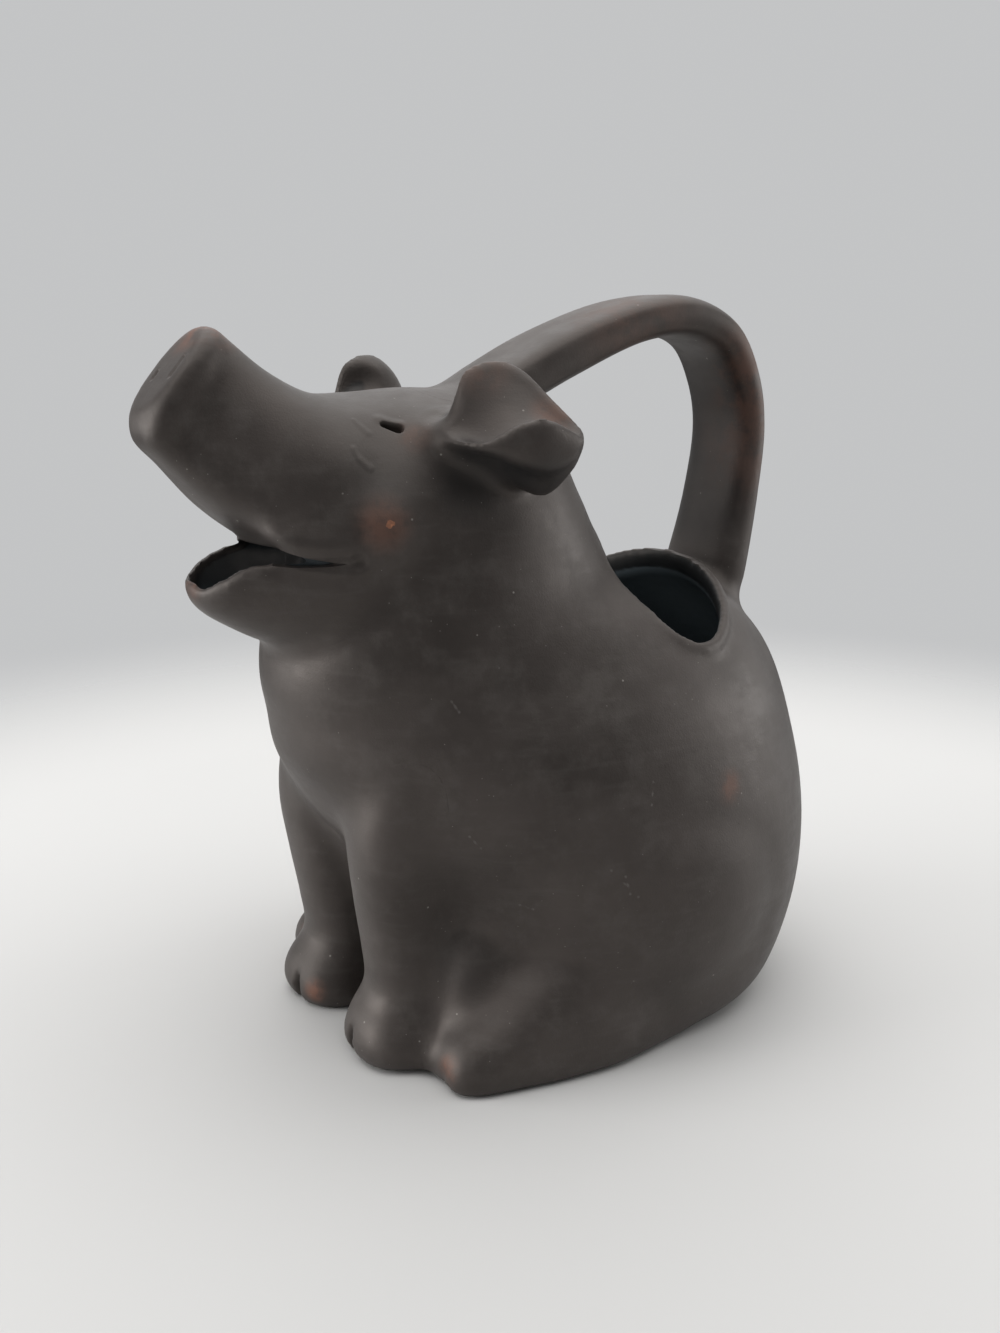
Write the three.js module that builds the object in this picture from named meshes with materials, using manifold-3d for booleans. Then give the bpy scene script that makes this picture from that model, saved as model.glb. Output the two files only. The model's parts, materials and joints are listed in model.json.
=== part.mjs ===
// Pitcher in the form of a sitting pig, hand-built in dark unglazed clay.
// Millimetres, +Z up, the pig faces -Y and its left side is +X, the table is z = 0.
import * as THREE from "three";
import { mergeVertices } from "three/addons/utils/BufferGeometryUtils.js";
import Module from "manifold-3d";

const wasm = await Module();
wasm.setup();

// Whole pig: across the belly, from the nose to the rump, from the table to the top of the handle
// Stations are in hundredths of these: x and half widths of the width, y of the length, z of the height
const width = 158;
const length = 236;
const height = 240;

// Clay: wall of the hollow pieces, slip-filled gap between two pieces, slab under the belly
const wall = 4.5;
const slip = 0.3;
const baseThickness = 7;

// Hide: sections from the base over the back and out along the head to the nose
// Each meets the breast line and the back line at [y, z] and has a half width in X
// "low" is where it is widest, from the breast, and "full" below 1 makes it squarer
const sections = [
  { name: "base", breast: [-29.7, 0], back: [23.7, 0], half: 41.8, low: 0.5, full: 0.98 },
  { name: "foot", breast: [-31.4, 4.2], back: [29.2, 4.2], half: 46.2, low: 0.5, full: 0.98 },
  { name: "haunch", breast: [-33.1, 14.6], back: [33.7, 15], half: 49.1, low: 0.5, full: 0.98 },
  { name: "belly", breast: [-37.3, 25], back: [34.7, 27.1], half: 50, low: 0.5, full: 0.98 },
  { name: "breast", breast: [-43.2, 32.9], back: [33.5, 38.8], half: 48.4, low: 0.5, full: 1 },
  { name: "shoulder", breast: [-47, 40], back: [28.5, 51.9], half: 44.3, low: 0.5, full: 1 },
  { name: "withers", breast: [-48.1, 45.4], back: [15.7, 62.1], half: 37, low: 0.5, full: 0.98 },
  { name: "neck", breast: [-48.9, 50], back: [0.8, 66.7], half: 33.2, low: 0.5, full: 1 },
  { name: "nape", breast: [-48.7, 54.2], back: [-3.8, 74.2], half: 31, low: 0.5, full: 1 },
  { name: "poll", breast: [-46.8, 59.4], back: [-8.1, 81.2], half: 28.5, low: 0.5, full: 0.95 },
  { name: "crown", breast: [-44.9, 62.9], back: [-16.1, 86.2], half: 27.2, low: 0.45, full: 0.9 },
  { name: "cheek", breast: [-44.1, 64.6], back: [-26.3, 87.9], half: 25.9, low: 0.4, full: 0.85 },
  { name: "brow", breast: [-44.9, 65.8], back: [-35.6, 87.5], half: 23.4, low: 0.35, full: 0.82 },
  { name: "muzzle", breast: [-49.6, 68.1], back: [-42.8, 87.7], half: 19.3, low: 0.3, full: 0.8 },
  { name: "snout", breast: [-56.5, 73.8], back: [-48.3, 90.4], half: 14.6, low: 0.35, full: 0.8 },
  { name: "collar", breast: [-61.9, 79.5], back: [-52.5, 92.7], half: 11.4, low: 0.45, full: 0.85 },
  { name: "rim", breast: [-64.1, 81.2], back: [-54.2, 94.8], half: 11.1, low: 0.5, full: 0.9 },
  { name: "edge", breast: [-64.9, 82.4], back: [-55.6, 95.5], half: 10.4, low: 0.5, full: 0.92 },
  { name: "face", breast: [-64.9, 83.8], back: [-57, 94.9], half: 8.2, low: 0.5, full: 0.95 },
];

// Seams between the pieces of the hide, counted along the sections
const neckSeam = 7.75;
const snoutSeam = 13.1;
const noseSeam = 15.55;
const hollowEnd = 15.2;

// Filling hole over the withers: front and rear edge and sag of the sides along the sections
const holeFront = 7.42;
const holeRear = 5.94;
const holeSag = 0.9;
const holeSpread = 1.135;
const holeFull = 0.72;
const rimWidth = 4.2;
const rimDeep = 6;
const rimProud = 3.4;
const rimFull = 0.9;

// Lower jaw: trough sections from the throat to the lip, rim and keel heights
const jawSections = [
  { y: -29.7, rim: 69.2, keel: 52.9, half: 25.3 },
  { y: -36.4, rim: 69.2, keel: 53.3, half: 24.4 },
  { y: -41.9, rim: 69, keel: 54.2, half: 22.5 },
  { y: -46.6, rim: 68.5, keel: 55.4, half: 19.6 },
  { y: -51.3, rim: 67.7, keel: 57.3, half: 16.5 },
  { y: -54.7, rim: 66.7, keel: 59.2, half: 13 },
  { y: -57.2, rim: 65.8, keel: 60.8, half: 9.2 },
  { y: -58.6, rim: 65.3, keel: 62.3, half: 5.7 },
  { y: -59.3, rim: 65.2, keel: 63.7, half: 2.5 },
];
const jawFull = 0.85;
const lipThickness = 3.6;
const throatStart = 0.2;
const lipSetback = 0.55;
const mouthRise = 12;

// Handle: centre line in the mid plane, strap width and thickness at the same stations
const handleLine = [
  { at: [-28, 81.7], width: 21.5, thick: 6.2 },
  { at: [-16.1, 87.1], width: 21.8, thick: 7.1 },
  { at: [-5.9, 91.9], width: 21.8, thick: 7.3 },
  { at: [7.6, 96.5], width: 21.5, thick: 6.5 },
  { at: [16.1, 96.9], width: 21.5, thick: 6 },
  { at: [22.7, 94], width: 21.5, thick: 5.6 },
  { at: [26.5, 87.5], width: 21.5, thick: 5.4 },
  { at: [27.8, 80.8], width: 21.5, thick: 5.2 },
  { at: [26.7, 71.2], width: 22.2, thick: 5.4 },
  { at: [24.8, 62.5], width: 23.4, thick: 6 },
  { at: [22, 53.3], width: 24.7, thick: 7.5 },
];
const strapFull = 0.72;

// Ear: trough of clay from its front root to the tip, [x, y] of its keel and heights
const earLine = [
  { at: [23.4, -32.2], keel: 80.4, inner: 85.4, outer: 83.8, lean: 0.6, open: 2.5 },
  { at: [26.6, -29.7], keel: 78.1, inner: 90, outer: 82.3, lean: -0.6, open: 4.7 },
  { at: [29.7, -26.3], keel: 76.7, inner: 91.9, outer: 82.7, lean: -2.5, open: 5.7 },
  { at: [32.9, -22.9], keel: 76.2, inner: 90.4, outer: 85.2, lean: -3.8, open: 5.1 },
  { at: [36.1, -19.9], keel: 76.9, inner: 86.9, outer: 86.2, lean: -3.2, open: 3.2 },
  { at: [38, -18.2], keel: 79.6, inner: 84, outer: 83.8, lean: -1.3, open: 1.3 },
];
const earThickness = 5.5;
const earBulge = 3.8;
const earFold = 0.55;

// Front legs: column down to a cloven foot, [x, y] of the centre, half width, half depth
const frontLeg = [
  { z: 46.7, at: [18.4, -28], half: 9.5, deep: 6.4 },
  { z: 39.2, at: [18, -33.9], half: 11.4, deep: 7.6 },
  { z: 31.7, at: [17.1, -35.8], half: 11.1, deep: 7.4 },
  { z: 22.9, at: [16.1, -35.2], half: 10.4, deep: 7 },
  { z: 15, at: [15.5, -34.1], half: 9.8, deep: 6.8 },
  { z: 9.6, at: [15.2, -33.7], half: 9.8, deep: 6.8 },
  { z: 5.4, at: [15.2, -34.5], half: 11.1, deep: 8.3 },
  { z: 2.1, at: [15.2, -34.7], half: 11.7, deep: 8.7 },
  { z: 0, at: [15.2, -34.7], half: 9.5, deep: 7.2 },
];
const legFull = 0.9;
const cleftWidth = 2.2;
const frontCleft = { aside: 2.5, deep: 12.5, rise: 17 };

// Hind legs: foot lying along the base, running back into the thigh, centre x and half width
const hindLeg = [
  { y: -36, x: 34.2, half: 4.4, top: 4 },
  { y: -33.9, x: 34.2, half: 6.6, top: 6.2 },
  { y: -29.7, x: 34.5, half: 7.9, top: 7.9 },
  { y: -24.6, x: 34.8, half: 8.9, top: 10 },
  { y: -18.6, x: 35.4, half: 10.4, top: 13.8 },
  { y: -11, x: 34.8, half: 12, top: 18.8 },
  { y: 0, x: 31.6, half: 12.7, top: 20 },
];
const hindFull = 0.75;
const hindWidest = 4;
const hindUnder = 0.5;
const hindCleft = { aside: -1.5, deep: 8.5, rise: 13 };
const thigh = { along: 2.55, turn: -0.2, length: 1.15, height: 0.52, roll: -0.5, proud: 3.2 };
const thighEdge = 0.9;

// Tail: curl of clay on the rump, its turns, how far it tapers and how far it stands off
const tailRadius = 3.6;
const tailCurl = 10;
const tailAlong = 2.6;
const tailTurns = 1.15;
const tailTaper = 0.45;
const tailRise = 4.3;

// Face: eyes pierced beside the brow, nostrils in the nose disc, swelling at each mouth corner
const eyeAlong = 11.95;
const eyeTurn = 0.8;
const eyeHalf = [2, 3.2, 7];
const cheekAlong = 11.4;
const cheekTurn = -0.28;
const cheekRadius = 13;
const cheekProud = 0.9;
const nostrilApart = 6;
const nostrilHalf = [1.7, 5, 2.4];

// Fineness of the skins: rows along a piece and points around it
const fine = {
  trunkRows: 2,
  headRows: 2,
  hide: 36,
  hollow: 24,
  hole: 40,
  coil: 8,
  jawRows: 13,
  jaw: 15,
  earRows: 13,
  earFold: 8,
  handleRows: 30,
  strap: 16,
  legRows: 16,
  leg: 18,
  hindRows: 13,
  hind: 13,
  thighRows: 6,
  thigh: 22,
  tailRows: 20,
  tail: 8,
  ball: 12,
  swelling: 32,
};

// Solids out of geometry and back
function solid(geometry) {
  const bare = new THREE.BufferGeometry();
  bare.setAttribute("position", geometry.getAttribute("position").clone());
  bare.setIndex(geometry.index);
  const merged = mergeVertices(bare, 1e-4);
  const mesh = new wasm.Mesh({
    numProp: 3,
    vertProperties: new Float32Array(merged.getAttribute("position").array),
    triVerts: new Uint32Array(merged.index.array),
  });
  return new wasm.Manifold(mesh);
}

function geometryOf(body) {
  const mesh = body.getMesh();
  const geometry = new THREE.BufferGeometry();
  const points = new THREE.BufferAttribute(new Float32Array(mesh.vertProperties), 3);
  geometry.setAttribute("position", points);
  geometry.setIndex(new THREE.BufferAttribute(new Uint32Array(mesh.triVerts), 1));
  return geometry;
}

// The biggest body that is left after a cut
function largest(body) {
  const bodies = body.decompose();
  bodies.sort((a, b) => b.volume() - a.volume());
  return bodies[0];
}

// Skin over a row of rings with the same count of points, closed at both ends or into a loop
function loft(rings, loop = false) {
  const around = rings[0].length;
  const points = rings.flat();
  const faces = [];
  const strips = loop ? rings.length : rings.length - 1;
  for (let i = 0; i < strips; i++) {
    const near = i * around;
    const far = ((i + 1) % rings.length) * around;
    for (let j = 0; j < around; j++) {
      const next = (j + 1) % around;
      faces.push(near + j, near + next, far + next, near + j, far + next, far + j);
    }
  }
  if (!loop) {
    for (const start of [0, (rings.length - 1) * around]) {
      const ring = points.slice(start, start + around);
      const middle = new THREE.Vector3();
      ring.forEach((p) => middle.addScaledVector(p, 1 / around));
      points.push(middle);
      for (let j = 0; j < around; j++) {
        const edge = [start + j, start + ((j + 1) % around)];
        if (start === 0) edge.reverse();
        faces.push(points.length - 1, ...edge);
      }
    }
  }
  let volume = 0;
  for (let i = 0; i < faces.length; i += 3) {
    const [a, b, c] = [points[faces[i]], points[faces[i + 1]], points[faces[i + 2]]];
    volume += a.dot(b.clone().cross(c));
  }
  const geometry = new THREE.BufferGeometry().setFromPoints(points);
  geometry.setIndex(volume < 0 ? faces.reverse() : faces);
  return solid(geometry);
}

// Smooth values between stations, counted in stations
function through(points) {
  const curve = new THREE.CatmullRomCurve3(points, false, "centripetal");
  return (along) => curve.getPoint(along / (points.length - 1));
}

// Lengths out of hundredths of the whole pig
const acrossPig = (share) => (share * width) / 100;
const alongPig = (share) => (share * length) / 100;
const upPig = (share) => (share * height) / 100;
const inMidPlane = ([y, z]) => new THREE.Vector3(0, alongPig(y), upPig(z));

const spread = (from, to, count) =>
  Array.from({ length: count }, (_, i) => from + ((to - from) * i) / (count - 1));
const circle = (count) => spread(0, 2 * Math.PI, count + 1).slice(0, -1);

// Point of an oval, squarer where full is below 1
function oval(turn, full) {
  const squared = (value) => Math.sign(value) * Math.abs(value) ** full;
  return [squared(Math.cos(turn)), squared(Math.sin(turn))];
}

// Hide surface: along the sections and around them, turn 0 on the pig's left, a quarter turn on the back
const station = 20;
const breastAt = through(sections.map((s) => inMidPlane(s.breast)));
const backAt = through(sections.map((s) => inMidPlane(s.back)));
const halfAt = through(sections.map((s, i) => new THREE.Vector3(i * station, acrossPig(s.half), 0)));
const shapeAt = through(sections.map((s, i) => new THREE.Vector3(i, s.low, s.full)));

function hidePoint(along, turn) {
  const shape = shapeAt(along);
  const breast = breastAt(along);
  const back = backAt(along);
  const middle = breast.clone().lerp(back, shape.y);
  const [side, rise] = oval(turn, shape.z);
  const end = rise > 0 ? back : breast;
  const point = middle.clone().addScaledVector(end.sub(middle), Math.abs(rise));
  point.x = side * halfAt(along).y;
  return point;
}

const last = sections.length - 1;
function hideNormal(along, turn) {
  const step = 0.01;
  const before = hidePoint(Math.max(along - step, 0), turn);
  const ahead = hidePoint(Math.min(along + step, last), turn).sub(before);
  const round = hidePoint(along, turn + step).sub(hidePoint(along, turn - step));
  return round.cross(ahead).normalize();
}

// Place on the hide or off it, and the turn that faces the same way
function onHide(along, turn, lift) {
  const normal = hideNormal(along, turn);
  const facing = new THREE.Quaternion().setFromUnitVectors(up, normal);
  return { point: hidePoint(along, turn).addScaledVector(normal, lift), facing };
}

function hideSolid(grow, to, around) {
  const split = Math.round(neckSeam);
  const trunk = spread(0, split, split * fine.trunkRows + 1);
  const front = spread(split, to, Math.round((to - split) * fine.headRows) + 1);
  const rings = [...trunk, ...front.slice(1)].map((along) =>
    circle(around).map((turn) => onHide(along, turn, grow).point),
  );
  return loft(rings);
}

// Everything on the far side of a plane
const up = new THREE.Vector3(0, 0, 1);
const down = up.clone().negate();
function beyond(point, normal) {
  const size = 700;
  const box = new THREE.BoxGeometry(size, size, size).translate(0, 0, size / 2);
  const turn = new THREE.Quaternion().setFromUnitVectors(up, normal);
  return solid(box.applyQuaternion(turn).translate(point.x, point.y, point.z));
}

// Plane of one section of the hide, as the half space ahead of it and the one behind it
function seamAt(along) {
  const breast = breastAt(along);
  const run = backAt(along).sub(breast).normalize();
  const normal = new THREE.Vector3(0, -run.z, run.y);
  const gap = normal.clone().multiplyScalar(slip / 2);
  return {
    ahead: beyond(breast.clone().add(gap), normal),
    behind: beyond(breast.clone().sub(gap), normal.clone().negate()),
    normal,
  };
}

function ellipsoid(half, centre, facing = new THREE.Quaternion(), detail = fine.ball) {
  const ball = new THREE.SphereGeometry(1, detail, detail / 2).scale(...half);
  return solid(ball.applyQuaternion(facing).translate(centre.x, centre.y, centre.z));
}

const mirrored = (body) => body.mirror([1, 0, 0]);

// Hide as a filled form, as a cutter with room for slip, and the hollow inside it
const hide = hideSolid(0, last, fine.hide);
const hideCutter = hideSolid(slip, last, fine.hide);
const aboveTable = beyond(new THREE.Vector3(), up);
const aboveBase = beyond(new THREE.Vector3(0, 0, baseThickness + slip), up);
const hollow = hideSolid(-wall, hollowEnd, fine.hollow).intersect(aboveBase);
const shell = hide.subtract(hollow);
const neck = seamAt(neckSeam);
const muzzle = seamAt(snoutSeam);
const nose = seamAt(noseSeam);

// Base slab that the jug stands on
const baseSlab = hide.intersect(beyond(new THREE.Vector3(0, 0, baseThickness), down));

// Edge of the filling hole on the hide, the way out from it and how near it is to the rear
function holeEdge(widen) {
  const middle = (holeFront + holeRear) / 2;
  const reach = (holeFront - holeRear) / 2;
  const edge = circle(fine.hole).map((turn) => {
    const [fore, aside] = oval(turn, Math.cos(turn) < 0 ? holeFull : 1);
    const along = middle + reach * fore - holeSag * aside ** 2;
    const angle = Math.PI / 2 - holeSpread * aside;
    const rear = ((1 - fore) / 2) ** 2;
    return { point: hidePoint(along, angle), normal: hideNormal(along, angle), rear };
  });
  return edge.map((spot, i) => {
    const ahead = edge[(i + 1) % edge.length].point;
    const before = edge[(i + edge.length - 1) % edge.length].point;
    const out = ahead.clone().sub(before).cross(spot.normal).normalize();
    return { ...spot, out, point: spot.point.clone().addScaledVector(out, widen) };
  });
}

// Coil around the filling hole, flush with the back in front and raised at the rear
function coil(room) {
  const rings = holeEdge(0).map((spot) => {
    const top = slip + rimProud * spot.rear;
    const half = rimDeep / 2;
    return circle(fine.coil).map((turn) => {
      const [across, high] = oval(turn, rimFull);
      return spot.point
        .clone()
        .addScaledVector(spot.normal, top - half + (half + room) * high)
        .addScaledVector(spot.out, (rimWidth / 2 + room) * across);
    });
  });
  return loft(rings, true);
}
const fillerRim = coil(0);
const plugEdge = holeEdge(rimWidth / 2 + slip);
const plugFrom = -2.5 * wall;
const plugTo = 6 * wall;
const holePlug = loft(
  [plugFrom, plugTo].map((lift) =>
    plugEdge.map((spot) => spot.point.clone().addScaledVector(spot.normal, lift)),
  ),
);

// Body shell between the base slab and the neck
const bodyShell = largest(
  shell.intersect(neck.behind).intersect(aboveBase).subtract(holePlug).subtract(coil(slip)),
);

// Lower jaw: trough with a rounded bottom, its hollow reaches back into the throat
const jawAt = {
  place: through(jawSections.map((s) => new THREE.Vector3(alongPig(s.y), upPig(s.rim), upPig(s.keel)))),
  half: through(jawSections.map((s) => new THREE.Vector3(alongPig(s.y), acrossPig(s.half), 0))),
};
const jawTip = jawSections.length - 1;
function jawSolid(inset, rise, from, to) {
  const rings = spread(from, to, fine.jawRows).map((along) => {
    const place = jawAt.place(along);
    const half = Math.max(jawAt.half(along).y - inset, 1);
    const depth = Math.max(place.y - place.z - inset, 1);
    const spot = (x, z) => new THREE.Vector3(x, place.x, z);
    const sweep = spread(0, -Math.PI, fine.jaw).map((turn) => {
      const [side, drop] = oval(turn, jawFull);
      return spot(side * half, place.y + drop * depth);
    });
    const top = place.y + rise;
    const lid = rise > 0 ? [spot(-half, top), spot(0, top), spot(half, top)] : [spot(0, top)];
    return [...sweep, ...lid];
  });
  return loft(rings);
}
const jawOuter = jawSolid(0, 0, 0, jawTip);
const jawHollow = jawSolid(lipThickness, mouthRise, throatStart, jawTip - lipSetback);
const lowerJaw = largest(jawOuter.subtract(jawHollow).subtract(hideCutter));

// Head: eyes pierced through the brow, a swelling at each corner of the mouth, open to the jaw
const mouth = jawSolid(lipThickness, 2 * slip, throatStart, jawTip - lipSetback);
const eyeSpot = onHide(eyeAlong, eyeTurn, 0);
const eye = ellipsoid(eyeHalf, eyeSpot.point, eyeSpot.facing);
const cheekSpot = onHide(cheekAlong, cheekTurn, cheekProud - cheekRadius);
const cheekHalf = [cheekRadius, cheekRadius, cheekRadius];
const cheekBall = ellipsoid(cheekHalf, cheekSpot.point, cheekSpot.facing, fine.swelling);
const cheek = cheekBall.subtract(hollow);
const headShell = largest(
  shell
    .add(cheek)
    .add(mirrored(cheek))
    .intersect(neck.ahead)
    .intersect(muzzle.behind)
    .subtract(eye)
    .subtract(mirrored(eye))
    .subtract(mouth)
    .subtract(jawOuter.subtract(hideCutter)),
);

// Snout: hollow muzzle between the head and the nose disc
const snout = largest(shell.intersect(muzzle.ahead).intersect(nose.behind).subtract(mouth));

// Nose disc with two long nostril dents in its flat face
const faceMiddle = breastAt(last).lerp(backAt(last), 0.5);
const faceTurn = new THREE.Quaternion().setFromUnitVectors(up, nose.normal);
const nostrilSpot = faceMiddle.clone().setX(nostrilApart);
const nostril = ellipsoid(nostrilHalf, nostrilSpot, faceTurn);
const noseDisc = largest(
  hide.intersect(nose.ahead).subtract(nostril).subtract(mirrored(nostril)),
);

// Ears: folded leaves with a raised inner edge
const earAt = {
  place: through(
    earLine.map((s) => new THREE.Vector3(acrossPig(s.at[0]), alongPig(s.at[1]), upPig(s.keel))),
  ),
  edges: through(
    earLine.map((s, i) => new THREE.Vector3(i * station, upPig(s.inner), upPig(s.outer))),
  ),
  fold: through(
    earLine.map((s, i) => new THREE.Vector3(i * station, acrossPig(s.lean), acrossPig(s.open))),
  ),
};
const earRun = earAt.place(earLine.length - 1).sub(earAt.place(0));
const earSide = new THREE.Vector3(earRun.y, -earRun.x, 0).normalize();
function earRing(along) {
  const place = earAt.place(along);
  const edges = earAt.edges(along);
  const fold = earAt.fold(along);
  const half = earThickness / 2;
  const spot = (side, z) => new THREE.Vector3(side, 0, z);
  const inner = spot(fold.y, edges.y - half);
  const keel = spot(0, place.z + half);
  const outer = spot(fold.z, edges.z - half);
  const middle = new THREE.CatmullRomCurve3([
    inner,
    inner.clone().lerp(keel, earFold).add(spot(-earBulge, -earBulge / 2)),
    keel,
    keel.clone().lerp(outer, earFold).add(spot(earBulge / 2, -earBulge / 2)),
    outer,
  ]);
  const side = (sign) =>
    spread(0, 1, fine.earFold).map((t) => {
      const tangent = middle.getTangent(t);
      return middle.getPoint(t).addScaledVector(spot(tangent.z, -tangent.x), sign * half);
    });
  const ring = [
    inner.clone().addScaledVector(middle.getTangent(0), -half),
    ...side(1),
    outer.clone().addScaledVector(middle.getTangent(1), half),
    ...side(-1).reverse(),
  ];
  return ring.map((p) => new THREE.Vector3(place.x, place.y, p.z).addScaledVector(earSide, p.x));
}
const earBlank = loft(spread(0, earLine.length - 1, fine.earRows).map(earRing));
const earLeft = largest(earBlank.subtract(hideCutter));

// Handle: strap of clay pulled from the crown to behind the filling hole
const handleAt = {
  place: new THREE.CatmullRomCurve3(handleLine.map((s) => inMidPlane(s.at))),
  strap: through(
    handleLine.map((s, i) => new THREE.Vector3(i * station, acrossPig(s.width), upPig(s.thick))),
  ),
};
const handleRings = spread(0, 1, fine.handleRows).map((t) => {
  const place = handleAt.place.getPoint(t);
  const tangent = handleAt.place.getTangent(t);
  const strap = handleAt.strap(t * (handleLine.length - 1));
  const out = new THREE.Vector3(0, -tangent.z, tangent.y);
  return circle(fine.strap).map((turn) => {
    const [across, high] = oval(turn, strapFull);
    const point = place.clone().addScaledVector(out, (high * strap.z) / 2);
    return point.setX((across * strap.y) / 2);
  });
});
const handle = largest(
  loft(handleRings)
    .subtract(hideCutter)
    .subtract(coil(slip))
    .subtract(earBlank)
    .subtract(mirrored(earBlank)),
);

// Front legs with cloven feet
const legAt = {
  place: through(
    frontLeg.map((s) => new THREE.Vector3(acrossPig(s.at[0]), alongPig(s.at[1]), upPig(s.z))),
  ),
  girth: through(
    frontLeg.map((s) => new THREE.Vector3(acrossPig(s.half), alongPig(s.deep), upPig(s.z))),
  ),
};
const legRings = spread(0, frontLeg.length - 1, fine.legRows).map((along) => {
  const place = legAt.place(along);
  const girth = legAt.girth(along);
  return circle(fine.leg).map((turn) => {
    const [across, deep] = oval(turn, legFull);
    return new THREE.Vector3(across * girth.x, deep * girth.y, 0).add(place);
  });
});
const legBlank = loft(legRings).intersect(aboveTable);
const frontToe = legAt.place(frontLeg.length - 2);
frontToe.add(new THREE.Vector3(-frontCleft.aside, -legAt.girth(frontLeg.length - 2).y, 0)).setZ(0);
const frontCut = ellipsoid([cleftWidth, frontCleft.deep, frontCleft.rise], frontToe);
const frontLegLeft = largest(legBlank.subtract(hideCutter).subtract(frontCut));

// Hind legs: foot along the base with a thigh pad over it
const hindAt = {
  place: through(
    hindLeg.map((s) => new THREE.Vector3(acrossPig(s.x), alongPig(s.y), upPig(s.top))),
  ),
  half: through(hindLeg.map((s) => new THREE.Vector3(alongPig(s.y), acrossPig(s.half), 0))),
};
const hindRings = spread(0, hindLeg.length - 1, fine.hindRows).map((along) => {
  const place = hindAt.place(along);
  const half = hindAt.half(along).y;
  return spread(-hindUnder, Math.PI + hindUnder, fine.hind).map((turn) => {
    const [across, high] = oval(turn, hindFull);
    const reach = high > 0 ? place.z - hindWidest : 2 * hindWidest;
    return new THREE.Vector3(place.x + across * half, place.y, hindWidest + high * reach);
  });
});
function thighRing(share, lift) {
  const [cos, sin] = [Math.cos(thigh.roll), Math.sin(thigh.roll)];
  return circle(fine.thigh).map((turn) => {
    const [long, high] = [share * Math.cos(turn), share * Math.sin(turn)];
    const along = thigh.along + thigh.length * (long * cos - high * sin);
    const angle = thigh.turn + thigh.height * (long * sin + high * cos);
    return onHide(along, angle, lift).point;
  });
}
const thighPad = loft([
  thighRing(thighEdge, -wall / 2),
  ...spread(1, 1 - thighEdge, fine.thighRows).map((share) =>
    thighRing(share, 3 * slip + thigh.proud * (1 - share ** 2)),
  ),
]);
const hindToe = hindAt.place(0).setZ(0);
hindToe.x -= hindCleft.aside;
const hindCut = ellipsoid([cleftWidth, hindCleft.deep, hindCleft.rise], hindToe);
const hindLegLeft = largest(
  loft(hindRings)
    .add(thighPad)
    .intersect(aboveTable)
    .subtract(hideCutter)
    .subtract(hindCut)
    .subtract(legBlank),
);

// Tail: one curl standing off the rump
const tailSpot = onHide(tailAlong, Math.PI / 2, tailRadius / 2);
const tailLine = new THREE.CatmullRomCurve3(
  spread(0, 1, fine.tailRows).map((t) => {
    const swing = 2 * Math.PI * tailTurns * t;
    const reach = tailCurl * (1 - tailTaper * t);
    const point = new THREE.Vector3(reach * Math.sin(swing), tailRise * t, reach * Math.cos(swing));
    return point.add(tailSpot.point);
  }),
);
const tailFrames = tailLine.computeFrenetFrames(fine.tailRows - 1, false);
const tailRings = spread(0, 1, fine.tailRows).map((t, i) => {
  const radius = tailRadius * (1 - tailTaper * t);
  return circle(fine.tail).map((turn) =>
    tailLine
      .getPointAt(t)
      .addScaledVector(tailFrames.normals[i], radius * Math.cos(turn))
      .addScaledVector(tailFrames.binormals[i], radius * Math.sin(turn)),
  );
});
const tail = largest(loft(tailRings).subtract(hideCutter));

// Assembly: every piece is the same dark clay
const pig = new THREE.Group();
function piece(name, body) {
  const material = new THREE.MeshStandardMaterial({ color: 0x3b3230, roughness: 0.7, metalness: 0 });
  const mesh = new THREE.Mesh(geometryOf(body), material);
  mesh.name = name;
  pig.add(mesh);
}
piece("base_slab", baseSlab);
piece("body_shell", bodyShell);
piece("filler_rim", fillerRim);
piece("head_shell", headShell);
piece("snout", snout);
piece("nose_disc", noseDisc);
piece("lower_jaw", lowerJaw);
piece("ear_left", earLeft);
piece("ear_right", mirrored(earLeft));
piece("handle", handle);
piece("front_leg_left", frontLegLeft);
piece("front_leg_right", mirrored(frontLegLeft));
piece("hind_leg_left", hindLegLeft);
piece("hind_leg_right", mirrored(hindLegLeft));
piece("tail", tail);

export default pig;
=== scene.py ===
import json
import math

import bmesh
import bpy
import numpy as np
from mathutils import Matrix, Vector
from mathutils.bvhtree import BVHTree

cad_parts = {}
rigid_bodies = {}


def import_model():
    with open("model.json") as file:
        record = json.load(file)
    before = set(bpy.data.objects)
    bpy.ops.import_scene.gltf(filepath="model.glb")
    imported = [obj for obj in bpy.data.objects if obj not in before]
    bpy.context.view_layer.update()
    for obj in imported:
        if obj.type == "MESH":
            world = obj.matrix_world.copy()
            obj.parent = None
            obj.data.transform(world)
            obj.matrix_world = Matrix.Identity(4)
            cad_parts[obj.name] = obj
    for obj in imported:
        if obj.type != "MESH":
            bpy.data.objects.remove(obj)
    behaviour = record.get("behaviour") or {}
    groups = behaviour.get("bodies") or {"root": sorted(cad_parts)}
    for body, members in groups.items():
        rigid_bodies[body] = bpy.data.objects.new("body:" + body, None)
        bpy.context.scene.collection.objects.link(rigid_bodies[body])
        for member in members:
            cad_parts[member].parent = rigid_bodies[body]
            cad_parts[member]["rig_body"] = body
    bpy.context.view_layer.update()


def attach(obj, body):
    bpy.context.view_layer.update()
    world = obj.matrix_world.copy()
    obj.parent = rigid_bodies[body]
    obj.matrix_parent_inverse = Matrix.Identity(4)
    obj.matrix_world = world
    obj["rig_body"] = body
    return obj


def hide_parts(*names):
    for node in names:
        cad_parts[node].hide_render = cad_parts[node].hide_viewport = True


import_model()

# ----------------------------------------
# Hide: the skin of body and head, one hand-smoothed form from the base over the back to the nose.
# The potter builds it up ring by ring, so a ring is extruded from section to section here too.
# Every section meets the breast line and the back line at (y, z), in millimetres.
mm = 0.001
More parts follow.
